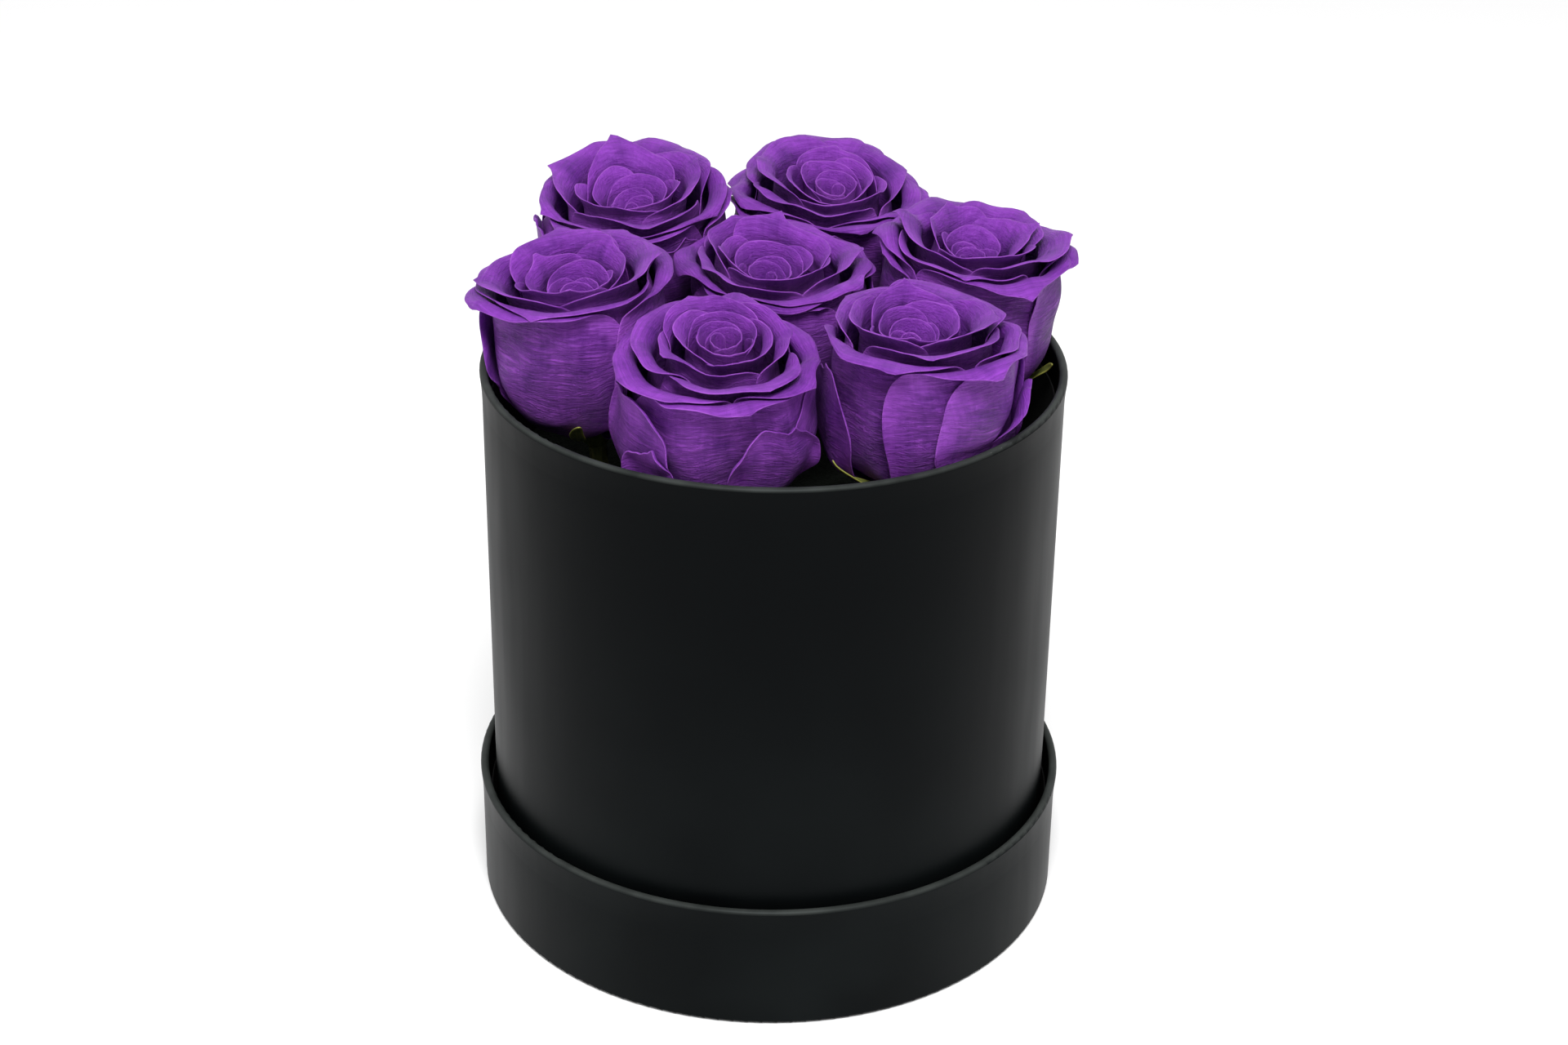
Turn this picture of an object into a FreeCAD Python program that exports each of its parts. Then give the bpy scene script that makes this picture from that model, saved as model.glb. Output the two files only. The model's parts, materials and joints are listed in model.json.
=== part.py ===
"""Round flower box: a hat box standing in its own upturned lid, with preserved roses in foam inside it.

Millimetres, +Z up. The origin is the centre of the lid's underside, on the surface that the box stands on,
and -Y is the front. Each piece of the real object is one STEP file in parts/.
"""

import FreeCAD
import Part

import math
import os

Vector = FreeCAD.Vector

# Driving dimensions: the box and its lid.
BOX_RADIUS = 80.0
BOX_HEIGHT = 160.0
LID_RADIUS = 84.0
LID_HEIGHT = 37.5
BOARD = 1.8  # grey board of the walls, the base and the lid's panel
PAPER = 0.3  # laminated wrapping paper with its glue
WALL = BOARD + 2 * PAPER  # a wall with paper on both sides, as it is at the rim
FLARE = 0.5  # how far a rim stands out from its wall
FLARE_HEIGHT = 9.0
TURN_IN = 16.0  # paper folded over the rim and down the inside
TURN_UNDER = 11.0  # paper folded under the bottom edge
CORNER = 0.8  # outer radius of the fold at the bottom edge
SEAM_WIDTH = 12.0  # overlap where the wrapping paper's two ends are glued
SEAM_STEP = 0.2
LINING_BELOW_RIM = 9.5
PAPER_DISC_INSET = 2.0

# Driving dimensions: the foam and the roses.
FOAM_GAP = 1.5
FOAM_TOP = 126.0
FOAM_CHAMFER = 1.0
STEM_RADIUS = 2.6
STEM_LENGTH = 56.0
STEM_CLEARANCE = 0.3
STEM_SLANT = 35.0  # the cut across its lower end, in degrees
HOLE_DEEPER = 1.0  # how far a stem's hole in the foam goes on below the stem
HEAD_HEIGHT = 54.0  # from the top of the stem to the crown of a head of size 1
LEAN = 6.0  # how far the six outer roses lean outwards, in degrees
OUTER_PETALS = 5
MIDDLE_PETALS = 4
PETAL_GAP = 1.2  # degrees between neighbouring petals of a whorl
SEPALS = 5
SEPAL_THICKNESS = 0.8
CUP_HEIGHT = 6.6  # the calyx's cup, on which the bud and its petals are rooted
NECK_RADIUS = 1.6  # the bud's neck, between the petals' roots

# Each rose: azimuth of its head from the box's axis in degrees, its distance from that axis at the crown,
# the crown's height above the table, and the head's size. The first stands in the middle.
ROSES = [
    (0.0, 0.0, 196.5, 1.00),
    (13.2, 57.0, 196.5, 1.00),
    (73.7, 53.2, 200.5, 1.00),
    (137.8, 56.4, 203.0, 1.00),
    (194.1, 55.4, 196.5, 1.01),
    (254.5, 53.4, 194.0, 1.01),
    (313.0, 56.6, 192.5, 1.00),
]

LID_BOTTOM = PAPER  # the fold under the lid's edge, above its covering disc
LID_FLOOR = LID_BOTTOM + PAPER + BOARD + PAPER
BOX_BOTTOM = LID_FLOOR + PAPER
BOX_TOP = LID_FLOOR + BOX_HEIGHT
BOX_FLOOR = BOX_BOTTOM + PAPER + BOARD + PAPER

PARTS = "parts"
UP = Vector(0, 0, 1)
CENTRE = Vector(0, 0, 0)


def at(radius, height):
    """A point of a profile, which lies in the XZ plane."""
    return Vector(radius, 0, height)


def line(a, b):
    return Part.LineSegment(a, b).toShape()


def arc(a, middle, b):
    return Part.Arc(a, middle, b).toShape()


def curve(points):
    """A smooth edge through the points."""
    spline = Part.BSplineCurve()
    spline.interpolate(points)
    return spline.toShape()


def turned(edges, angle=360.0, start=0.0):
    """The solid that a closed profile sweeps about the Z axis from the azimuth start, in degrees."""
    face = Part.Face(Part.Wire(edges))
    solid = face.revolve(CENTRE, UP, angle)
    solid.rotate(CENTRE, UP, start)
    return solid


def disc(radius, low, thickness):
    return Part.makeCylinder(radius, thickness, at(0, low))


def save(shape, node):
    shape.exportStep(os.path.join(PARTS, node + ".step"))


# Wrapped walls: the box's and the lid's are made the same way.


def flare_line(radius, top, inset):
    """Start, middle and end of the lean below a rim, for a face that lies inset from the outside."""
    r = radius - inset
    end = top - WALL / 2
    start = top - FLARE_HEIGHT
    return at(r, start), at(r + FLARE / 4, (start + end) / 2), at(r + FLARE, end)


def rim_top(radius, top, inset):
    """The highest point of a rounded rim, for a face that lies inset from the outside."""
    return at(radius + FLARE - WALL / 2, top - inset)


def board_wall(radius, bottom, top):
    """The board tube inside the paper: its rim is rounded and its bottom edge eased."""
    low = bottom + PAPER
    ease = CORNER - PAPER
    out_start, out_middle, out_end = flare_line(radius, top, PAPER)
    in_start, in_middle, in_end = flare_line(radius, top, WALL - PAPER)
    outer, inner = radius - PAPER, radius - WALL + PAPER
    bend = ease * (1 - math.sqrt(0.5))
    return turned(
        [
            line(at(inner, low), at(outer - ease, low)),
            arc(at(outer - ease, low), at(outer - bend, low + bend), at(outer, low + ease)),
            line(at(outer, low + ease), out_start),
            arc(out_start, out_middle, out_end),
            arc(out_end, rim_top(radius, top, PAPER), in_end),
            arc(in_end, in_middle, in_start),
            line(in_start, at(inner, low)),
        ]
    )


def paper_wrap(radius, bottom, top):
    """One sheet glued round the board, turned under its foot and over its rim, with a lapped seam."""
    low = bottom + PAPER
    bend, ease = CORNER * (1 - math.sqrt(0.5)), CORNER - PAPER
    inner_bend = ease * (1 - math.sqrt(0.5))
    turned_to = top - TURN_IN
    faces = [flare_line(radius, top, inset) for inset in (0, PAPER, WALL - PAPER, WALL)]
    (o0, o1, o2), (p0, p1, p2), (q0, q1, q2), (i0, i1, i2) = faces
    sheet = turned(
        [
            line(at(radius - TURN_UNDER, bottom), at(radius - CORNER, bottom)),
            arc(at(radius - CORNER, bottom), at(radius - bend, bottom + bend), at(radius, bottom + CORNER)),
            line(at(radius, bottom + CORNER), o0),
            arc(o0, o1, o2),
            arc(o2, rim_top(radius, top, 0), i2),
            arc(i2, i1, i0),
            line(i0, at(radius - WALL, turned_to)),
            line(at(radius - WALL, turned_to), at(radius - WALL + PAPER, turned_to)),
            line(at(radius - WALL + PAPER, turned_to), q0),
            arc(q0, q1, q2),
            arc(q2, rim_top(radius, top, PAPER), p2),
            arc(p2, p1, p0),
            line(p0, at(radius - PAPER, low + ease)),
            arc(
                at(radius - PAPER, low + ease),
                at(radius - PAPER - inner_bend, low + inner_bend),
                at(radius - CORNER, low),
            ),
            line(at(radius - CORNER, low), at(radius - TURN_UNDER, low)),
            line(at(radius - TURN_UNDER, low), at(radius - TURN_UNDER, bottom)),
        ]
    )
    width = math.degrees(SEAM_WIDTH / radius)
    seam_low, seam_high = bottom + CORNER, top - FLARE_HEIGHT
    seam = turned(
        [
            line(at(radius - PAPER / 2, seam_low), at(radius + SEAM_STEP, seam_low)),
            line(at(radius + SEAM_STEP, seam_low), at(radius + SEAM_STEP, seam_high)),
            line(at(radius + SEAM_STEP, seam_high), at(radius - PAPER / 2, seam_high)),
            line(at(radius - PAPER / 2, seam_high), at(radius - PAPER / 2, seam_low)),
        ],
        width,
        90 - width / 2,
    )
    return sheet.fuse(seam).removeSplitter()


def lining(radius, floor, top):
    """A sleeve of thin card over the turned-in paper."""
    outer = radius - WALL
    height = top - LINING_BELOW_RIM - floor
    return disc(outer, floor, height).cut(disc(outer - PAPER, floor, height))


def make_case(wall, panel, radius, bottom, top):
    """The pieces that the box and the lid have in common, named after their two boards."""
    case = wall.split("_")[0]
    floor = bottom + PAPER + BOARD
    save(board_wall(radius, bottom, top), wall + "_board")
    save(disc(radius - WALL + PAPER, bottom + PAPER, BOARD), panel + "_board")
    save(paper_wrap(radius, bottom, top), case + "_wrap_paper")
    save(disc(radius - PAPER_DISC_INSET, bottom - PAPER, PAPER), panel + "_paper")
    save(lining(radius, floor, top), wall + "_lining")
    save(disc(radius - WALL - PAPER, floor, PAPER), panel + "_lining")


# Roses: each is made upright on the origin, with the top of its stem there, and then set in place.


def scaled(size, points):
    return [at(r * size, z * size) for r, z in points]


def whorl(size, outer, inner, petals, start):
    """A ring of petals between two profiles, as separate solids."""
    out_points, in_points = scaled(size, outer), scaled(size, inner)
    edges = [
        curve(out_points),
        line(out_points[-1], in_points[0]),
        curve(in_points),
        line(in_points[-1], out_points[0]),
    ]
    step = 360.0 / petals
    return Part.makeCompound([turned(edges, step - PETAL_GAP, start + i * step) for i in range(petals)])


def outer_petals(size):
    outer = [(4.2, 7.0), (12.0, 8.2), (18.8, 12.6), (21.8, 21.0), (22.6, 31.0), (22.8, 40.0), (25.2, 49.5)]
    inner = [(23.6, 51.0), (20.7, 41.0), (20.2, 31.0), (19.2, 22.0), (16.4, 15.4), (10.8, 11.6), (4.2, 10.2)]
    return whorl(size, outer, inner, OUTER_PETALS, 20.0)


def middle_petals(size):
    outer = [(2.0, 10.8), (10.2, 12.0), (15.6, 16.0), (18.4, 22.6), (19.4, 31.0), (19.7, 41.0), (21.6, 51.5)]
    inner = [(17.0, 54.0), (13.6, 44.0), (12.4, 32.0), (9.4, 20.4), (2.0, 14.6)]
    return whorl(size, outer, inner, MIDDLE_PETALS, 0.0)


def bud(size):
    """The rolled petals at the heart on their neck, dished at the top where they spiral in."""
    low, dish_low, neck = CUP_HEIGHT * size, 48.0 * size, NECK_RADIUS * size
    rolled = [(NECK_RADIUS, 15.6), (7.2, 19.4), (10.8, 28.0), (11.4, 38.0), (9.8, 48.0), (7.6, 51.0)]
    side = scaled(size, rolled)
    dish_edge = at(1.2 * size, dish_low)
    return turned(
        [
            line(at(0, low), at(neck, low)),
            line(at(neck, low), side[0]),
            curve(side),
            arc(side[-1], at(4.6 * size, 48.9 * size), dish_edge),
            line(dish_edge, at(0, dish_low)),
            line(at(0, dish_low), at(0, low)),
        ]
    )


def calyx(size):
    """The green cup under the petals, with five pointed sepals that spread below them."""
    top = CUP_HEIGHT * size
    cup_side = [at(STEM_RADIUS, 0)] + scaled(size, [(4.8, 2.2), (5.4, 4.4), (4.6, CUP_HEIGHT)])
    cup = turned(
        [
            line(CENTRE, cup_side[0]),
            curve(cup_side),
            line(cup_side[-1], at(0, top)),
            line(at(0, top), CENTRE),
        ]
    )
    under = scaled(size, [(4.0, 4.4), (12.0, 5.2), (19.0, 9.6)])
    over = [point + Vector(0, 0, SEPAL_THICKNESS) for point in under]
    bowl = turned(
        [
            arc(*under),
            line(under[2], over[2]),
            arc(over[2], over[1], over[0]),
            line(over[0], under[0]),
        ]
    )
    root, belly, tip = Vector(3.8, 2.0, 0) * size, Vector(10.0, 3.0, 0) * size, Vector(18.2, 0, 0) * size
    mirrored = [Vector(p.x, -p.y, 0) for p in (root, belly)]
    sides = [arc(root, belly, tip), arc(tip, mirrored[1], mirrored[0])]
    outline = Part.Wire(sides + [line(mirrored[0], root)])
    leaf = Part.Face(outline).extrude(Vector(0, 0, HEAD_HEIGHT))
    for i in range(SEPALS):
        blade = leaf.copy()
        blade.rotate(CENTRE, UP, 360.0 * i / SEPALS)
        cup = cup.fuse(bowl.common(blade))
    return cup.removeSplitter()


def stem():
    """A round stem whose lower end is cut on the slant."""
    rod = Part.makeCylinder(STEM_RADIUS, STEM_LENGTH, at(0, -STEM_LENGTH))
    size = 8 * STEM_RADIUS
    cutter = Part.makeBox(size, size, size, Vector(-size / 2, -size / 2, -size))
    cutter.rotate(CENTRE, Vector(0, 1, 0), -STEM_SLANT)
    cutter.translate(at(0, STEM_RADIUS * math.tan(math.radians(STEM_SLANT)) - STEM_LENGTH))
    return rod.cut(cutter)


def rose_place(azimuth, distance, crown, size):
    """Where a rose stands: its own Z axis leans outwards, and its crown is where ROSES says."""
    lean = LEAN if distance else 0.0
    turn = FreeCAD.Rotation(UP, azimuth) * FreeCAD.Rotation(Vector(0, 1, 0), lean)
    axis = turn.multVec(UP)
    out = math.radians(azimuth)
    top = Vector(distance * math.cos(out), distance * math.sin(out), crown)
    return FreeCAD.Placement(top - axis * HEAD_HEIGHT * size, turn)


def make_rose(number, place, size):
    pieces = {
        "outer_petals": outer_petals(size),
        "middle_petals": middle_petals(size),
        "bud": bud(size),
        "calyx": calyx(size),
        "stem": stem(),
    }
    for name, shape in pieces.items():
        shape.Placement = place.multiply(shape.Placement)
        save(shape, f"rose_{number}_{name}")


def foam_block(places):
    """A cylinder of foam with a hole for each stem, a little wider and deeper than the stem."""
    radius = BOX_RADIUS - WALL - PAPER - FOAM_GAP
    block = disc(radius, BOX_FLOOR, FOAM_TOP - BOX_FLOOR)
    top_edges = [e for e in block.Edges if e.BoundBox.ZMin > FOAM_TOP - FOAM_CHAMFER]
    block = block.makeChamfer(FOAM_CHAMFER, top_edges)
    for place in places:
        bottom = at(0, -STEM_LENGTH - HOLE_DEEPER)
        hole = Part.makeCylinder(STEM_RADIUS + STEM_CLEARANCE, 2 * STEM_LENGTH, bottom)
        hole.Placement = place.multiply(hole.Placement)
        block = block.cut(hole)
    return block


def main():
    os.makedirs(PARTS, exist_ok=True)
    make_case("lid_hoop", "lid_panel", LID_RADIUS, LID_BOTTOM, LID_HEIGHT)
    make_case("box_tube", "box_base", BOX_RADIUS, BOX_BOTTOM, BOX_TOP)
    places = [rose_place(*rose) for rose in ROSES]
    save(foam_block(places), "foam_block")
    for number, (place, rose) in enumerate(zip(places, ROSES), start=1):
        make_rose(number, place, rose[3])


main()
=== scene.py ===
"""Looks of the round flower box: a satin black hat box in its upturned lid, with seven purple roses."""

import json
import math

import bpy
import numpy as np
from mathutils import Matrix, Vector


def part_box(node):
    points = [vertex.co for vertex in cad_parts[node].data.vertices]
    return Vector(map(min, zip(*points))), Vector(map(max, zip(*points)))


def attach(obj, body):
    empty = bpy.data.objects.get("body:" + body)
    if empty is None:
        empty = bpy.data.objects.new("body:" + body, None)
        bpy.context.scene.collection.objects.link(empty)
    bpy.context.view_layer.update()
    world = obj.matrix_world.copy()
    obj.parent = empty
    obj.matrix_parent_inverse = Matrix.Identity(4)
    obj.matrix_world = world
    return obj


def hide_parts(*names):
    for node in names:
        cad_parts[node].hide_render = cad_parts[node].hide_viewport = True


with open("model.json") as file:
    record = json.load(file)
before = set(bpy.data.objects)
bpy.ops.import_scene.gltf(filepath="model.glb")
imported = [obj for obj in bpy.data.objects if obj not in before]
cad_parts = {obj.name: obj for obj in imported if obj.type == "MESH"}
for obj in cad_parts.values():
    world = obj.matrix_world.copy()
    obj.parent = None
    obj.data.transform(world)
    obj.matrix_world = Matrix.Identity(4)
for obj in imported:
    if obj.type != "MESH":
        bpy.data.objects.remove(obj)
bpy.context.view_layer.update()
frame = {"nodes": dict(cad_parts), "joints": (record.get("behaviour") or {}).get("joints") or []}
MM = 0.001
ROSES = range(1, 8)

# The camera's lens and place, then how far it looks down, how far to the right, and how far it leans.
LENS = 65.53
CAMERA_PLACE = (0, -0.7159, 0.4832)
CAMERA_TURN = (27.42, 0.274, 0.840)
FLOOR_HALF = 3.0

# The rose's own shape, in millimetres: z from the top of the stem along the rose's axis, and depth inwards
# from the outermost petal's wall. Each row of NEST is a depth, how high the cup of a petal there reaches
# before its lip begins, the lip's curl from there to its edge in degrees, and the lip's length.
WALL_RADIUS = 22.4
NEST = np.array(
    [
        (-3, 43.0, 122, 5.8),
        (0, 45.0, 114, 6.2),
        (3, 46.2, 100, 7.4),
        (6, 47.0, 80, 7.6),
        (8.5, 47.3, 62, 7.0),
        (11, 46.3, 46, 6.4),
        (13.5, 44.2, 32, 5.8),
        (16.5, 41.4, 16, 5.2),
        (20, 39.2, 2, 4.6),
    ]
)
BASE_RADIUS = 3.6  # where the outermost petal's cup starts, and how that changes for each mm of depth
BASE_RADIUS_CHANGE = -0.12
BASE_RADIUS_LEAST = 0.7
BASE_Z = 6.8
BASE_Z_CHANGE = 0.42
LIP_STEPS = 14
CURL_EARLY = 0.6  # below 1, a lip bends most where it starts
FULLNESS = 3.4  # how square the bottom of a cup is: 2 is an ellipse
BELLY = 2.2  # how far the outermost petal bulges halfway up
PETAL_THICKNESS = 0.30
GOLDEN = math.radians(137.5)
WOBBLE = ((1.1, 46), (0.75, 24), (0.34, 12))  # pairs of amplitude and wavelength
STEM_RADIUS = 2.6
STEM_SLANT = 35
CALYX_HEIGHT = 7.0
CALYX_BULGE = 2.6
CALYX_OVERLAP = 0.6  # how far the cup reaches down over the stem
SEPALS = 5
SEPAL_THICKNESS = 0.36
HEADROOM = 0.15  # left free between a rose and its neighbour's half of the room
WALL_GAP = 0.9  # left free between the roses and the box's lining
NEIGHBOUR = 75  # roses nearer than this press on each other
# One value for each rose: how far its heart lies from its axis, how far its crown faces the front, as a
# slope, how far the crown is raised, and where its outermost petal is, in degrees.
HEARTS = (
    (-3, 0, -0.3),
    (-1.9, 0, -1),
    (2, 1.5, 1.7),
    (2.4, -3, 1.4),
    (0.5, -2, -1.9),
    (0.4, 6, 3.6),
    (-3.6, 2, -1.3),
)
FACING = (0.04, -0.02, 0.08, 0.12, 0.01, 0.13, -0.06)
RAISED = (0.6, 2.0, 0, -0.5, 2.5, -1.5, 3.3)
SPINS = (262, 300, 285, 250, 226, 268, 318)
# Those moves start at the first height and are whole from the second height up.
HEART_HEIGHTS = (10, 40)
FACE_HEIGHTS = (12, 42)
OPENED = 0.26  # how much more the inner petals face the front than the outer ones
OPEN_RADIUS = 15  # how far from the axis that reaches
# The loose petals of each rose: azimuth, depth, half its width in degrees, share of the full height, flare.
GUARDS = {
    1: [(285, -1.2, 42, 0.93, 1.0), (25, -1.2, 36, 0.93, 1.6)],
    2: [(200, -1.4, 42, 0.95, 1.8), (350, -0.8, 44, 0.99, 0.4), (70, -1.4, 36, 0.93, 1.6)],
    3: [
        (150, -1.0, 38, 1.0, 1.2),
        (15, -1.4, 36, 0.95, 1.6),
        (265, -1.5, 34, 0.9, 1.6),
        (200, -1.9, 36, 0.97, 1.8),
    ],
    4: [
        (190, -1.5, 36, 0.9, 2.2),
        (105, -1.2, 36, 0.95, 1.4),
        (300, -1.5, 32, 0.88, 1.8),
        (352, -1.9, 36, 0.97, 1.4),
    ],
    5: [(176, -1.6, 30, 0.86, 1.8), (322, -1.6, 34, 0.84, 1.8), (90, -1.4, 34, 0.92, 1.6)],
    6: [
        (208, -1.5, 36, 0.90, 2.0),
        (306, -1.8, 36, 0.84, 2.6),
        (228, -2.8, 18, 0.76, 2.0),
        (352, -0.9, 40, 0.86, 0.6),
    ],
    7: [
        (345, -2.6, 24, 0.82, 2.6),
        (322, -1.0, 46, 0.93, 0.4),
        (20, -1.4, 34, 0.92, 1.8),
        (196, -2.4, 40, 0.84, 1.0),
    ],
}


# ---------------------------------------------------------------- camera, lights and floor


def look_matrix(position, pitch, yaw, roll):
    """A camera's matrix: pitch is how far it looks down, and yaw how far to the right of +Y, in degrees."""
    pitch, yaw, roll = (math.radians(a) for a in (pitch, yaw, roll))
    ahead = Vector((math.sin(yaw) * math.cos(pitch), math.cos(yaw) * math.cos(pitch), -math.sin(pitch)))
    right = Vector((math.cos(yaw), -math.sin(yaw), 0))
    up = right.cross(ahead)
    side = math.cos(roll) * right + math.sin(roll) * up
    top = math.cos(roll) * up - math.sin(roll) * right
    turn = Matrix((side, top, -ahead)).transposed().to_4x4()
    return Matrix.Translation(position) @ turn


def add_camera():
    data = bpy.data.cameras.new("camera")
    data.lens = LENS
    data.sensor_width = 36.0
    data.clip_start = 0.01
    camera = bpy.data.objects.new("camera", data)
    camera.matrix_world = look_matrix(Vector(CAMERA_PLACE), *CAMERA_TURN)
    bpy.context.scene.collection.objects.link(camera)
    bpy.context.scene.camera = camera


def add_area_light(name, position, target, size, watts):
    data = bpy.data.lights.new(name, "AREA")
    data.shape = "DISK"
    data.size = size
    data.energy = watts
    light = bpy.data.objects.new(name, data)
    light.location = position
    light.rotation_euler = (Vector(target) - Vector(position)).to_track_quat("-Z", "Y").to_euler()
    bpy.context.scene.collection.objects.link(light)


def add_studio():
    world = bpy.data.worlds.new("studio")
    world.use_nodes = True
    world.node_tree.nodes["Background"].inputs["Color"].default_value = (1, 1, 1, 1)
    world.node_tree.nodes["Background"].inputs["Strength"].default_value = 0.85
    bpy.context.scene.world = world
    bpy.context.scene.view_settings.view_transform = "Standard"
    head = (0, 0, 0.18)
    add_area_light("key", (0.03, -0.76, 1.22), head, 0.5, 18)
    mesh = bpy.data.meshes.new("floor")
    corners = [(x * FLOOR_HALF, y * FLOOR_HALF, 0) for x, y in ((-1, -1), (1, -1), (1, 1), (-1, 1))]
    mesh.from_pydata(corners, [], [(0, 1, 2, 3)])
    floor = bpy.data.objects.new("floor", mesh)
    bpy.context.scene.collection.objects.link(floor)
    mesh.materials.append(floor_material())


# ---------------------------------------------------------------- materials


class Shader:
    """A material's node tree, with short ways to add nodes and to join them."""

    def __init__(self, name):
        self.material = bpy.data.materials.new(name)
        self.material.use_nodes = True
        self.nodes = self.material.node_tree.nodes
        self.links = self.material.node_tree.links
        self.surface = self.nodes["Principled BSDF"]

    def put(self, socket, value):
        """Joins a node's output to a socket, or sets the socket's own value."""
        if isinstance(value, bpy.types.NodeSocket):
            self.links.new(value, socket)
        else:
            socket.default_value = value

    def set(self, **values):
        for key, value in values.items():
            self.put(self.surface.inputs[key.replace("_", " ")], value)

    def attribute(self, name, part=None):
        node = self.nodes.new("ShaderNodeAttribute")
        node.attribute_name = name
        return node.outputs["Vector"] if part is None else node.outputs[part]

    def position(self):
        return self.nodes.new("ShaderNodeTexCoord").outputs["Object"]

    def split(self, vector):
        node = self.nodes.new("ShaderNodeSeparateXYZ")
        self.put(node.inputs[0], vector)
        return node.outputs

    def scaled(self, vector, scale):
        node = self.nodes.new("ShaderNodeMapping")
        self.put(node.inputs["Vector"], vector)
        node.inputs["Scale"].default_value = scale
        return node.outputs["Vector"]

    def noise(self, vector, scale, detail=2.0, roughness=0.5, distortion=0.0):
        node = self.nodes.new("ShaderNodeTexNoise")
        self.put(node.inputs["Vector"], vector)
        node.inputs["Scale"].default_value = scale
        node.inputs["Detail"].default_value = detail
        node.inputs["Roughness"].default_value = roughness
        node.inputs["Distortion"].default_value = distortion
        return node.outputs["Fac"]

    def cells(self, vector, scale):
        node = self.nodes.new("ShaderNodeTexVoronoi")
        self.put(node.inputs["Vector"], vector)
        node.inputs["Scale"].default_value = scale
        return node.outputs["Distance"]

    def math(self, operation, a, b=0.0, clamp=False):
        node = self.nodes.new("ShaderNodeMath")
        node.operation = operation
        node.use_clamp = clamp
        self.put(node.inputs[0], a)
        self.put(node.inputs[1], b)
        return node.outputs[0]

    def fit(self, value, low, high, to_low=0.0, to_high=1.0):
        """Maps low..high to to_low..to_high, held at both ends."""
        node = self.nodes.new("ShaderNodeMapRange")
        self.put(node.inputs["Value"], value)
        for key, number in (("From Min", low), ("From Max", high), ("To Min", to_low), ("To Max", to_high)):
            node.inputs[key].default_value = number
        return node.outputs["Result"]

    def mix(self, share, a, b):
        node = self.nodes.new("ShaderNodeMix")
        node.data_type = "RGBA"
        self.put(node.inputs[0], share)
        self.put(node.inputs[6], a)
        self.put(node.inputs[7], b)
        return node.outputs[2]

    def bump(self, height, strength, distance, below=None):
        node = self.nodes.new("ShaderNodeBump")
        self.put(node.inputs["Height"], height)
        node.inputs["Strength"].default_value = strength
        node.inputs["Distance"].default_value = distance
        if below is not None:
            self.put(node.inputs["Normal"], below)
        return node.outputs["Normal"]


def floor_material():
    s = Shader("pale_floor")
    tone = s.noise(s.position(), 3.0)
    s.set(Base_Color=s.mix(tone, (0.90, 0.90, 0.90, 1), (0.93, 0.93, 0.93, 1)), Roughness=0.9)
    return s.material


def wrap_material(name, rim_z):
    """Black paper with a satin film: a faint long grain, soft streaks in the gloss, a painted highlight in a
    paler band just under the rim, broken into streaks, and cloudy paler areas that get denser towards the
    foot, a painted reflection of the pale floor."""
    s = Shader(name)
    p = s.position()
    streak = s.noise(s.scaled(p, (1, 1, 0.12)), 90.0, 3.0)
    cloud = s.noise(p, 22.0, 2.0)
    fibre = s.noise(p, 2600.0, 2.0)
    height = s.split(p)[2]
    # Paler low down, in cloudy areas: a painted reflection of the pale floor on the foot of the wall and on
    # the lid.
    floor_reflection_falloff = s.fit(height, 0.01, 0.13, 1.0, 0.1)
    painted_floor_reflection = s.math("MULTIPLY", floor_reflection_falloff, s.fit(cloud, 0.35, 0.65, 0.4, 1.0))
    black = s.mix(painted_floor_reflection, (0.0004, 0.0005, 0.0007, 1), (0.0036, 0.0046, 0.0048, 1))
    # A paler band just under the rim's top, broken into streaks: a painted highlight along the rim bead.
    rim = s.fit(height, rim_z - 0.0011, rim_z - 0.0003)
    painted_rim_highlight = s.math("MULTIPLY", rim, s.fit(streak, 0.3, 0.6, 0.5, 1.0))
    s.set(
        Base_Color=s.mix(painted_rim_highlight, black, (0.034, 0.038, 0.036, 1)),
        Roughness=s.fit(s.math("ADD", streak, cloud), 0.7, 1.3, 0.36, 0.46),
        Specular_IOR_Level=0.05,
        Specular_Tint=(0.88, 0.97, 1.0, 1),
        Normal=s.bump(fibre, 0.10, 0.00005, s.bump(streak, 0.10, 0.0004)),
    )
    return s.material


def lining_material():
    s = Shader("black_lining_paper")
    p = s.position()
    s.set(
        Base_Color=s.mix(s.noise(p, 60.0), (0.004, 0.004, 0.004, 1), (0.008, 0.008, 0.008, 1)),
        Roughness=0.85,
        Specular_IOR_Level=0.2,
        Normal=s.bump(s.noise(p, 1800.0), 0.2, 0.0001),
    )
    return s.material


def board_material():
    s = Shader("grey_board")
    p = s.position()
    fibres = s.noise(s.scaled(p, (1, 1, 3)), 900.0, 4.0)
    s.set(
        Base_Color=s.mix(fibres, (0.20, 0.19, 0.17, 1), (0.40, 0.38, 0.35, 1)),
        Roughness=0.95,
        Normal=s.bump(fibres, 0.4, 0.0002),
    )
    return s.material


def foam_material():
    """Black floral foam: fine open cells and crumbs."""
    s = Shader("floral_foam")
    p = s.position()
    cells = s.cells(p, 900.0)
    crumbs = s.noise(p, 260.0, 4.0, 0.7)
    s.set(
        Base_Color=s.mix(crumbs, (0.006, 0.008, 0.006, 1), (0.022, 0.028, 0.022, 1)),
        Roughness=0.98,
        Specular_IOR_Level=0.15,
        Normal=s.bump(cells, 0.7, 0.0005, s.bump(crumbs, 0.6, 0.001)),
    )
    return s.material


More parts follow.
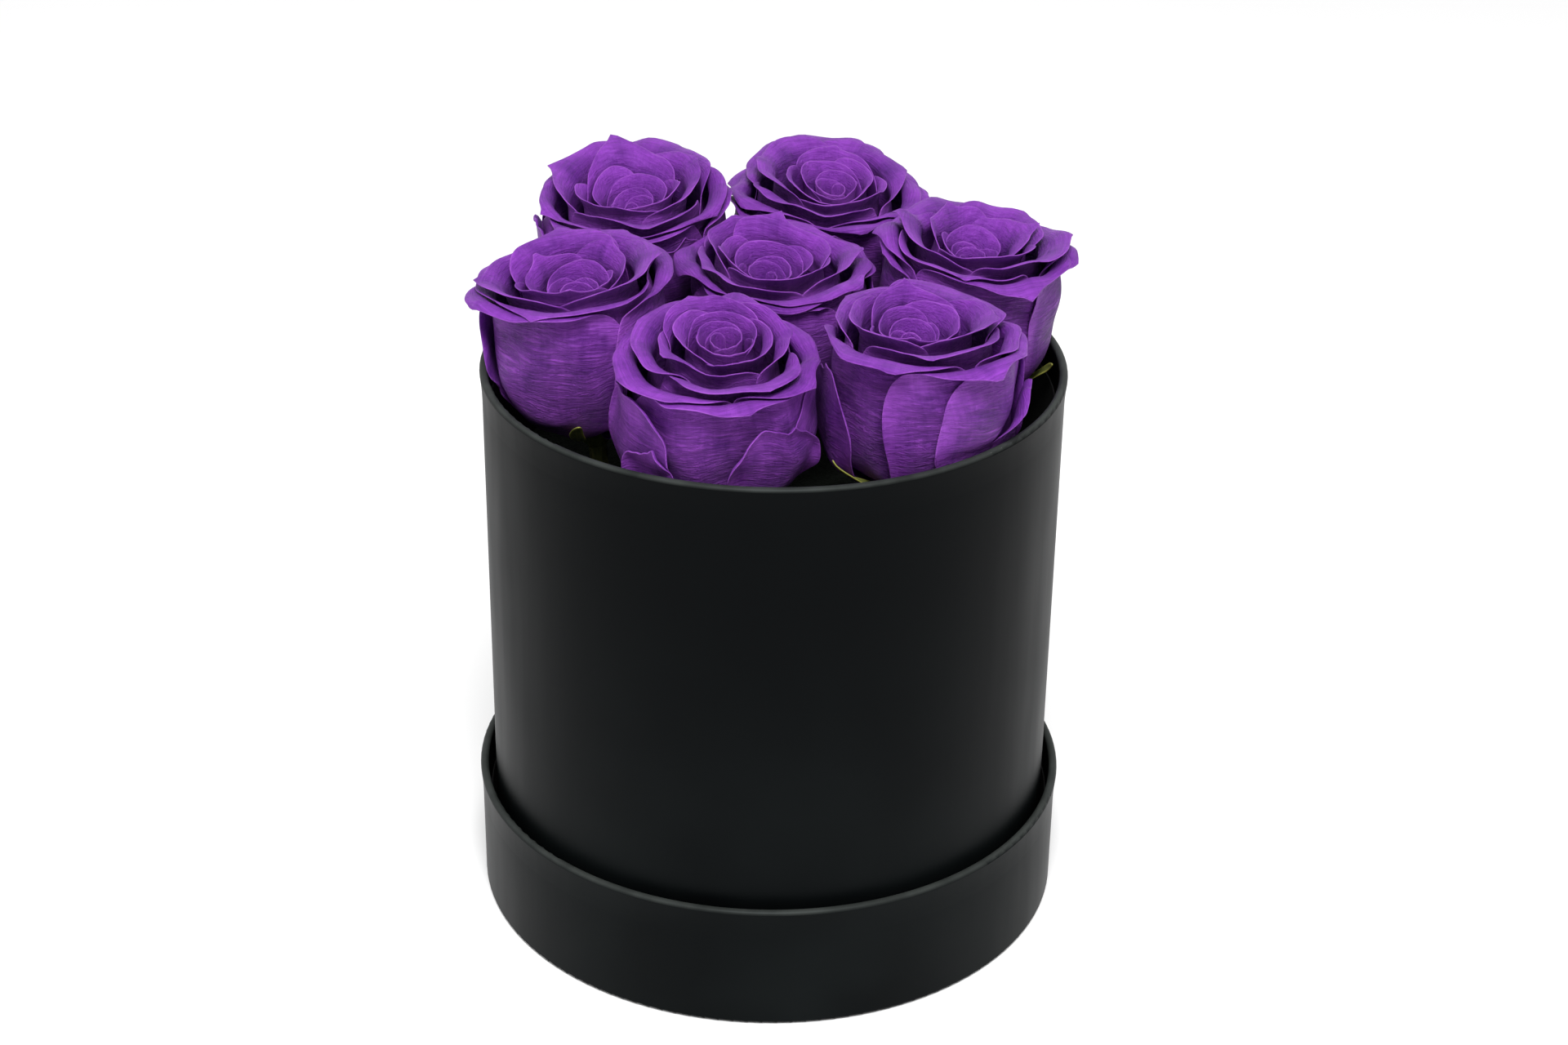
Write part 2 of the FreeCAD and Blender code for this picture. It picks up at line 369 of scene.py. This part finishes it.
def petal_material():
    """Preserved petal: velvety purple with a satin bloom, faint veins up it, fine creases across its body
    with a painted sheen along them, a painted highlight on the lip, which faces up to the lamp, and a thin
    paler edge."""
    s = Shader("preserved_petal")
    petal = s.attribute("petal")
    edge = s.split(petal)[2]
    inside = s.attribute("petal_inside", "Fac")
    p = s.position()
    veins = s.noise(s.scaled(petal, (1.1, 0.07, 0)), 1.0, 3.0, 0.6, 0.8)
    crease = s.noise(s.scaled(petal, (0.20, 1.15, 0)), 1.0, 5.0, 0.66, 1.3)
    mottle = s.noise(p, 130.0, 3.0, 0.6)
    grain = s.noise(p, 2600.0, 2.0)
    body = s.fit(edge, 4.0, 15.0, 0.30, 1.0)
    deep = s.mix(inside, (0.048, 0.001, 0.120, 1), (0.046, 0.001, 0.128, 1))
    pale = s.mix(inside, (0.248, 0.048, 0.420, 1), (0.232, 0.038, 0.420, 1))
    # Paler along the creases of the body: a painted sheen on the crease ridges.
    painted_crease_sheen = s.math("MULTIPLY", s.fit(crease, 0.48, 0.66), s.math("MULTIPLY", body, 0.50))
    tone = s.math("ADD", s.fit(mottle, 0.32, 0.70, 0.0, 0.46), s.fit(veins, 0.35, 0.7, 0.0, 0.16))
    # Paler within 7 mm of the edge: painted light on the lips, which face up to the lamp, leaving the walls
    # below darker.
    tone = s.math("ADD", tone, s.fit(edge, 1.0, 7.0, 0.36, 0.0))
    tone = s.math("ADD", tone, painted_crease_sheen, clamp=True)
    worn = s.math("MULTIPLY", s.fit(edge, 0.02, 0.20, 0.28, 0.0), s.fit(mottle, 0.35, 0.6, 0.15, 1.0))
    dents = s.bump(s.math("MULTIPLY", crease, body), 0.9, 0.0028, s.bump(veins, 0.10, 0.0004))
    s.set(
        Base_Color=s.mix(worn, s.mix(tone, deep, pale), (0.34, 0.11, 0.48, 1)),
        Roughness=s.fit(grain, 0.3, 0.7, 0.44, 0.60),
        Specular_IOR_Level=0.32,
        Specular_Tint=(0.92, 0.72, 1.0, 1),
        Sheen_Weight=0.07,
        Sheen_Roughness=0.45,
        Sheen_Tint=(0.75, 0.45, 1.0, 1),
        Normal=s.bump(grain, 0.25, 0.00008, dents),
    )
    return s.material


def sepal_material():
    """Dried green calyx: dull olive with lengthwise streaks, and a bright straw edge on the sepals."""
    s = Shader("dry_sepal")
    petal = s.attribute("petal")
    edge = s.split(petal)[2]
    p = s.position()
    streak = s.noise(s.scaled(petal, (2.4, 0.25, 0)), 1.0, 3.0, 0.6)
    blotch = s.noise(p, 260.0, 3.0)
    tone = s.fit(s.math("ADD", streak, blotch), 0.7, 1.3)
    leaf = s.mix(tone, (0.060, 0.085, 0.014, 1), (0.190, 0.205, 0.045, 1))
    s.set(
        Base_Color=s.mix(s.fit(edge, 0.10, 0.75, 0.85, 0.0), leaf, (0.30, 0.30, 0.06, 1)),
        Roughness=0.62,
        Specular_IOR_Level=0.32,
        Normal=s.bump(streak, 0.5, 0.0004, s.bump(blotch, 0.3, 0.0003)),
    )
    return s.material


def stem_material():
    s = Shader("preserved_stem")
    p = s.position()
    streak = s.noise(s.scaled(p, (1, 1, 0.08)), 1100.0, 3.0)
    blotch = s.noise(p, 120.0, 3.0)
    tone = s.math("MULTIPLY", s.math("ADD", streak, blotch), 0.5)
    s.set(
        Base_Color=s.mix(s.fit(tone, 0.35, 0.65), (0.07, 0.09, 0.022, 1), (0.26, 0.26, 0.085, 1)),
        Roughness=0.62,
        Specular_IOR_Level=0.35,
        Normal=s.bump(streak, 0.4, 0.0004),
    )
    return s.material


# ---------------------------------------------------------------- meshes


def smooth_object(name, points, faces, material):
    mesh = bpy.data.meshes.new(name)
    mesh.from_pydata((np.asarray(points) * MM).tolist(), [], faces)
    mesh.polygons.foreach_set("use_smooth", [True] * len(mesh.polygons))
    mesh.materials.append(material)
    thing = bpy.data.objects.new(name, mesh)
    bpy.context.scene.collection.objects.link(thing)
    return thing


def store(thing, name, values):
    """Keeps a number, or three, for each point of a mesh, for its material to read."""
    values = np.asarray(values, np.float32)
    kind, key = ("FLOAT", "value") if values.ndim == 1 else ("FLOAT_VECTOR", "vector")
    thing.data.attributes.new(name, kind, "POINT").data.foreach_set(key, values.ravel())


def normals_of(grid):
    """Unit normals of a grid of points."""
    a, b = np.gradient(grid, axis=0), np.gradient(grid, axis=1)
    n = np.cross(a, b)
    return n / np.maximum(np.linalg.norm(n, axis=2, keepdims=True), 1e-9)


def shell(grid, thickness):
    """A closed thin shell about a grid of points, with a rounded edge: its points and faces, and for each
    point the index of the grid point it came from and whether it is on the side the normals point to."""
    rows, columns = grid.shape[:2]
    normal = normals_of(grid)
    index = np.arange(rows * columns).reshape(rows, columns)
    ring = np.concatenate([index[0, :-1], index[:-1, -1], index[-1, :0:-1], index[:0:-1, 0]])
    flat, flat_normal = grid.reshape(-1, 3), normal.reshape(-1, 3)
    tangent = np.roll(flat[ring], -1, axis=0) - np.roll(flat[ring], 1, axis=0)
    outward = np.cross(tangent, flat_normal[ring])
    outward /= np.maximum(np.linalg.norm(outward, axis=1, keepdims=True), 1e-9)
    inner = index[rows // 2, columns // 2]
    if np.sum(outward[0] * (flat[ring[0]] - flat[inner])) < 0:
        outward = -outward
    half = thickness / 2
    points = np.vstack([flat + flat_normal * half, flat - flat_normal * half, flat[ring] + outward * half])
    a, b = index[:-1, :-1].ravel(), index[1:, :-1].ravel()
    c, d = index[1:, 1:].ravel(), index[:-1, 1:].ravel()
    count, start = rows * columns, 2 * rows * columns
    rim, following = start + np.arange(len(ring)), start + np.roll(np.arange(len(ring)), -1)
    after = np.roll(ring, -1)
    faces = np.vstack(
        [
            np.column_stack([a, b, c, d]),
            np.column_stack([a, d, c, b]) + count,
            np.column_stack([ring, after, following, rim]),
            np.column_stack([rim, following, after + count, ring + count]),
        ]
    )
    source = np.concatenate([np.arange(count), np.arange(count), ring])
    side = np.concatenate([np.ones(count), np.zeros(count), np.full(len(ring), 0.5)])
    return points, faces.tolist(), source, side


def joined(parts):
    """One list of points and faces from several."""
    points, faces, start = [], [], 0
    for p, f in parts:
        points.append(p)
        faces += [[corner + start for corner in face] for face in f]
        start += len(p)
    return np.vstack(points), faces


# ---------------------------------------------------------------- roses


def smooth_step(value, low, high):
    share = np.clip((value - low) / (high - low), 0, 1)
    return share * share * (3 - 2 * share)


def wobble(points, seed):
    """Moves points by a smooth random field, which is weaker near the rose's axis."""
    rng = np.random.default_rng(seed)
    moved = np.zeros_like(points)
    for amplitude, wavelength in WOBBLE:
        for _ in range(3):
            direction = rng.normal(size=(3, 3))
            direction /= np.linalg.norm(direction, axis=1, keepdims=True)
            phase = rng.uniform(0, 2 * math.pi, 3)
            wave = np.sin(points @ direction.T * (2 * math.pi / wavelength) + phase)
            moved += wave * amplitude / math.sqrt(3)
    calm = 0.35 + 0.65 * smooth_step(np.hypot(points[:, 0], points[:, 1]), 2, 14)
    return points + moved * calm[:, None]


def nest(depth, column):
    return np.interp(depth, NEST[:, 0], NEST[:, column])


def cup(depth):
    """Radius and height where a petal's cup starts, and the radius and height where it ends."""
    base_radius = np.maximum(BASE_RADIUS + BASE_RADIUS_CHANGE * depth, BASE_RADIUS_LEAST)
    return base_radius, BASE_Z + BASE_Z_CHANGE * depth, WALL_RADIUS - depth, nest(depth, 1)


def cup_length(depth):
    base_radius, base_z, radius, top_z = cup(depth)
    return math.pi / 2 * np.sqrt(((radius - base_radius) ** 2 + (top_z - base_z) ** 2) / 2)


def surface(depth, height):
    """Radius and z on the family of nested petals. Height is the distance up the petal from its base."""
    base_radius, base_z, radius, top_z = cup(depth)
    length = cup_length(depth)
    rise = np.clip(height / length, 0, 1) ** 1.6
    r = base_radius + (radius - base_radius) * (1 - (1 - rise) ** FULLNESS) ** (1 / FULLNESS)
    r = r + BELLY * 4 * rise * (1 - rise) * np.interp(depth, [0, 8], [1, 0])
    z = base_z + (top_z - base_z) * rise
    step = np.clip(height - length, 0, None) / LIP_STEPS
    for k in range(LIP_STEPS):
        bend = np.radians(nest(depth, 2)) * ((k + 0.5) * step / nest(depth, 3)) ** CURL_EARLY
        r = r + np.sin(bend) * step
        z = z + np.cos(bend) * step
    return r, z


def petal_grid(
    rng, depth, centre, half, size, lift=1.0, tip=0.0, shoulder=0.75, tilt=0.0, reach=1.0, flare=0.0
):
    """One petal as a grid of rows from its base to its lip, and the marks that its material reads.

    half is half its width in radians, lift scales its lip, tip is the length of its point, and shoulder how
    high its sides reach before they round. tilt is how much deeper one side lies than the other, reach how
    much of the full height it has, and flare how far its edges roll outwards.
    """
    rows, columns = size
    u = np.sin(np.linspace(-1, 1, columns) * math.pi / 2 * 0.985)[None, :]
    up = (np.linspace(0, 1, rows) ** 0.85)[:, None]
    full = cup_length(depth) + nest(depth, 3) * lift
    power = rng.uniform(2.1, 3.0)
    skew = rng.uniform(-0.3, 0.3)
    round_top = shoulder + (1 - shoulder) * (1 - np.abs(u) ** power) ** (1 / power)
    top = full * reach * round_top + tip * np.exp(-np.abs(u - skew) / 0.08)
    frill = np.interp(depth, [0, 14], [0.50, 0.10])
    top = top + frill * np.sin(u * rng.uniform(5, 9) + rng.uniform(0, 6.3))
    top = top + 0.35 * frill * np.sin(u * rng.uniform(14, 22) + rng.uniform(0, 6.3))
    height = up * top
    share = height / full
    width = 0.62 + 0.38 * np.clip(share / 0.85, 0, 1)
    side = (1 - np.abs(u)) * half * (WALL_RADIUS - depth)
    edge = np.minimum(top - height, side * 1.4)
    rolled = flare * np.exp(-edge / 2.2) * smooth_step(share, 0.25, 0.6)
    r, z = surface(depth + tilt * half * u * width - rolled, height)
    angle = centre + half * u * width
    grid = np.stack([r * np.cos(angle), r * np.sin(angle), z], axis=2)
    ridges = rng.uniform(0, 6.3, 3)
    ripple = 0.06 * np.sin(u * half * 11 + ridges[0] + 3 * share) + 0.04 * np.sin(u * half * 23 + ridges[1])
    grid = grid + normals_of(grid) * (ripple * smooth_step(share, 0.2, 0.7))[:, :, None]
    marks = np.stack([u * half * 18 + 0 * height, height + 60 * rng.random(), edge], axis=2)
    return grid, marks


def rose_layout(rng, spin, hand):
    """Every petal of a rose from the outside in, as keyword values of petal_grid, with the piece it is in.
    hand is 1 or -1: which way round its petals spiral. Each step is how much deeper the next petal lies."""
    steps = [0.5, 0.55, 0.9, 1.2, 1.4] + [1.5] * 4 + [1.4] * 2 + [1.3] * 2 + [1.1] * 4
    depth, petals = 0.0, []
    for i, step in enumerate(steps):
        core = depth > 13
        petals.append(
            {
                "piece": "outer_petals" if i < 5 else "middle_petals" if i < 10 else "bud",
                "depth": depth,
                "centre": spin + hand * i * GOLDEN + rng.uniform(-0.15, 0.15),
                "half": math.radians(np.interp(depth, [0, 8, 13, 16, 20], [78, 84, 94, 128, 150])),
                "lift": rng.uniform(0.96, 1.06) if core else rng.uniform(0.92 if i < 3 else 0.74, 1.12),
                "tip": 0.0 if core else rng.uniform(1.4, 4.2),
                "shoulder": float(np.interp(depth, [0, 10, 20], [0.64, 0.72, 0.92])),
                "tilt": hand * float(np.interp(depth, [0, 8, 16, 20], [0.38, 0.45, 0.42, 0.30])),
                "flare": float(np.interp(depth, [0, 2, 4], [0.5, 0.3, 0.0])),
                "size": (60, 60) if i < 5 else (54, 56) if i < 10 else (48, 60),
            }
        )
        depth += step
    return petals


def guard_layout(number):
    """The loose petals round the outside of a rose, as keyword values of petal_grid."""
    return [
        {
            "piece": "outer_petals",
            "depth": depth,
            "centre": math.radians(azimuth),
            "half": math.radians(half),
            "reach": reach,
            "flare": flare,
            "tip": 1.6,
            "shoulder": 0.62,
            "size": (48, 40),
        }
        for azimuth, depth, half, reach, flare in GUARDS[number]
    ]


class Rose:
    """Where one rose stands, read from its joint and its stem. Its own x is to the right, and its y to the
    back."""

    def __init__(self, number):
        self.number = number
        self.body = f"rose_{number}"
        joint = next(j for j in frame["joints"] if j["child"] == self.body)
        self.axis = np.array(Vector(joint["axis"]).normalized())
        low, high = (np.array(corner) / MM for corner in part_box(f"{self.body}_stem"))
        middle = (low + high) / 2
        top = high[2] - STEM_RADIUS * Vector(self.axis).cross(Vector((0, 0, 1))).length
        self.origin = middle + self.axis * ((top - middle[2]) / self.axis[2])
        self.stem_length = (top - low[2]) / self.axis[2]
        side = np.cross((0.0, 1.0, 0.0), self.axis)
        self.side = side / np.linalg.norm(side)
        self.back = np.cross(self.axis, self.side)

    def to_world(self, points):
        p = points.reshape(-1, 3)
        world = self.origin + p[:, :1] * self.side + p[:, 1:2] * self.back + p[:, 2:] * self.axis
        return world.reshape(points.shape)

    def hearted(self, points):
        """Moves the heart of the rose aside, and the petals round it less and less."""
        share = np.clip(1 - (np.hypot(points[:, 0], points[:, 1]) / (WALL_RADIUS + 3)) ** 2, 0, 1) ** 2
        share = share * smooth_step(points[:, 2], *HEART_HEIGHTS)
        return points + share[:, None] * np.array(HEARTS[self.number - 1])

    def faced(self, points):
        """Raises the back of the crown and lowers its front, so that the rose faces the front."""
        slope = FACING[self.number - 1] + self.axis[1] / self.axis[2]
        lifted = points.copy()
        away = points @ np.array((self.side[1], self.back[1], 0))
        inner = np.exp(-(points[:, 0] ** 2 + points[:, 1] ** 2) / OPEN_RADIUS**2)
        rise = (slope + OPENED * inner) * away + RAISED[self.number - 1]
        lifted[:, 2] += rise * smooth_step(points[:, 2], *FACE_HEIGHTS)
        return lifted

    def centre_at(self, z):
        """The axis's horizontal place at each height."""
        return self.origin[:2] + (z[..., None] - self.origin[2]) * (self.axis[:2] / self.axis[2])


def held_back(value, limit, soft):
    """Leaves value alone until it is within soft of limit, then lets it near limit without passing it."""
    start = limit - soft
    over = np.maximum(value - start, 0)
    return np.where(value > start, limit - soft * np.exp(-over / soft), value)


def confine(points, rose, roses, room):
    """Keeps a rose's points in its own room: on its side of each neighbour, and inside the box below the
    rim."""
    inner_radius, rim_z = room
    p = points.reshape(-1, 3).copy()
    for other in roses:
        if other is rose:
            continue
        here, there = rose.centre_at(p[:, 2]), other.centre_at(p[:, 2])
        gap = np.linalg.norm(there - here, axis=1)
        if gap.mean() > NEIGHBOUR:
            continue
        way = (there - here) / gap[:, None]
        reach = np.sum((p[:, :2] - here) * way, axis=1)
        p[:, :2] += way * (held_back(reach, gap / 2 - HEADROOM, 2.5) - reach)[:, None]
    distance = np.maximum(np.hypot(p[:, 0], p[:, 1]), 1e-6)
    limit = inner_radius + np.clip(p[:, 2] - rim_z, 0, None) * 1.1
    p[:, :2] *= (held_back(distance, limit, 2.0) / distance)[:, None]
    return p.reshape(points.shape)


def placed(grid, rose, roses, room):
    """A grid from the rose's own frame, warped with the rose and set in its place."""
    flat = wobble(grid.reshape(-1, 3), 500 + rose.number)
    return confine(rose.to_world(rose.faced(rose.hearted(flat))), rose, roses, room).reshape(grid.shape)


def finish_piece(rose, node, suffix, parts, material):
    """One object from the parts of a piece, which stands for the rose's CAD node of that name."""
    points, faces = joined([(p, f) for p, f, _, _ in parts])
    thing = smooth_object(f"{rose.body}_{node}_{suffix}", points, faces, material)
    store(thing, "petal", np.vstack([m for _, _, m, _ in parts]))
    store(thing, "petal_inside", np.concatenate([s for _, _, _, s in parts]))
    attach(thing, rose.body)
    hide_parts(f"{rose.body}_{node}")


def build_petals(rose, roses, material, room):
    rng = np.random.default_rng(100 + rose.number)
    pieces = {}
    spin = math.radians(SPINS[rose.number - 1])
    hand = 1 if rose.number % 2 else -1
    for petal in rose_layout(rng, spin, hand) + guard_layout(rose.number):
        piece = petal.pop("piece")
        grid, marks = petal_grid(rng, **petal)
        points, faces, source, side = shell(placed(grid, rose, roses, room), PETAL_THICKNESS)
        pieces.setdefault(piece, []).append((points, faces, marks.reshape(-1, 3)[source], side))
    for piece, parts in pieces.items():
        finish_piece(rose, piece, "petal_shells", parts, material)


def lathe(radii, heights, columns, ribs=0.0, tilt=0.0):
    """A closed round body from end to end of a profile, with ribs along it; tilt slants its lower end."""
    angle = np.arange(columns) * 2 * math.pi / columns
    rows = len(radii)
    r = np.asarray(radii)[:, None] * (1 + ribs * np.cos(angle * 5)[None, :])
    z = np.asarray(heights)[:, None] + np.zeros((1, columns))
    share = np.linspace(1, 0, rows)[:, None] ** 8
    z = z + tilt * share * r * np.cos(angle)[None, :]
    points = np.stack([r * np.cos(angle), r * np.sin(angle), z], axis=2).reshape(-1, 3)
    ends = [[0, 0, z[0].mean()], [0, 0, z[-1].mean()]]
    index = np.arange(rows * columns).reshape(rows, columns)
    after = np.roll(index, -1, axis=1)
    quads = np.stack([index[:-1], after[:-1], after[1:], index[1:]], axis=2).reshape(-1, 4).tolist()
    low, high = rows * columns, rows * columns + 1
    fans = [[low, b, a] for a, b in zip(index[0], after[0])]
    fans += [[high, a, b] for a, b in zip(index[-1], after[-1])]
    return np.vstack([points, ends]), quads + fans


def sepal_grid(rng, centre, peel, length):
    """A narrow pointed leaf that starts on the calyx's cup. It peels off the petals by peel, from 0 to 1."""
    rows, columns = 34, 13
    s, u = np.linspace(0, 1, rows)[:, None], np.linspace(-1, 1, columns)[None, :]
    half_width = 2.5 * (1 - s) ** 0.75 * (0.75 + 1.2 * s) + 0.12
    depth = -0.9 - 9 * peel * s**2 + 0.5 * u**2 * (1 - s) + 0.4 * np.sin(4 * s + rng.uniform(0, 6.3)) * s
    r, z = surface(depth, 3.0 + length * s + 0 * u)
    angle = centre + u * half_width / np.maximum(r, 3.5) + rng.uniform(-0.25, 0.25) * s**2
    grid = np.stack([r * np.cos(angle), r * np.sin(angle), z], axis=2)
    edge = (1 - np.abs(u)) * half_width
    return grid, np.stack([u + 0 * s, s * length + 0 * u, edge], axis=2)


def build_calyx(rose, roses, material, room):
    rng = np.random.default_rng(300 + rose.number)
    profile = np.linspace(0, 1, 18)
    radii = STEM_RADIUS + CALYX_BULGE * np.sin(profile * math.pi * 0.72) ** 1.3
    points, faces = lathe(radii, CALYX_HEIGHT * profile - CALYX_OVERLAP, 40, ribs=0.04)
    marks = np.column_stack([points[:, 0], points[:, 2], np.full(len(points), 3.0)])
    parts = [(rose.to_world(points), faces, marks, np.ones(len(points)))]
    spin = rng.uniform(0, 2 * math.pi)
    for i in range(SEPALS):
        centre = spin + i * 2 * math.pi / SEPALS + rng.uniform(-0.2, 0.2)
        grid, marks = sepal_grid(rng, centre, rng.uniform(0.05, 0.8), rng.uniform(19, 27))
        shell_points, shell_faces, source, side = shell(placed(grid, rose, roses, room), SEPAL_THICKNESS)
        parts.append((shell_points, shell_faces, marks.reshape(-1, 3)[source], side))
    finish_piece(rose, "calyx", "cup_and_sepals", parts, material)


def build_stem(rose, material):
    rng = np.random.default_rng(400 + rose.number)
    share = np.linspace(0, 1, 120)
    knots = sum(0.16 * np.exp(-(((share - at) / 0.02) ** 2)) for at in rng.uniform(0.1, 0.9, 3))
    radii = STEM_RADIUS - 0.12 + 0.05 * np.sin(share * rng.uniform(9, 14)) + knots
    slant = math.tan(math.radians(STEM_SLANT))
    heights = (share - 1) * (rose.stem_length - STEM_RADIUS * slant)
    points, faces = lathe(radii, heights, 32, ribs=0.012, tilt=slant)
    marks = np.column_stack([points[:, 0], points[:, 2], np.full(len(points), 3.0)])
    parts = [(rose.to_world(points), faces, marks, np.ones(len(points)))]
    finish_piece(rose, "stem", "ribbed", parts, material)


# ---------------------------------------------------------------- the whole object


def dress_cad_nodes(materials):
    finish = {
        "box_wrap_paper": "box_wrap",
        "base_paper": "box_wrap",
        "lid_wrap_paper": "lid_wrap",
        "panel_paper": "lid_wrap",
        "lining": "lining",
        "board": "board",
        "foam_block": "foam",
    }
    for name, node in frame["nodes"].items():
        for ending, key in finish.items():
            if name.endswith(ending):
                node.data.materials.clear()
                node.data.materials.append(materials[key])


def main():
    add_camera()
    add_studio()
    materials = {
        "box_wrap": wrap_material("box_wrap_paper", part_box("box_wrap_paper")[1].z),
        "lid_wrap": wrap_material("lid_wrap_paper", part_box("lid_wrap_paper")[1].z),
        "lining": lining_material(),
        "board": board_material(),
        "foam": foam_material(),
        "petal": petal_material(),
        "sepal": sepal_material(),
        "stem": stem_material(),
    }
    dress_cad_nodes(materials)
    roses = [Rose(number) for number in ROSES]
    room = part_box("box_tube_lining")[1].x / MM - WALL_GAP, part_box("box_wrap_paper")[1].z / MM
    for rose in roses:
        build_petals(rose, roses, materials["petal"], room)
        build_calyx(rose, roses, materials["sepal"], room)
        build_stem(rose, materials["stem"])


main()
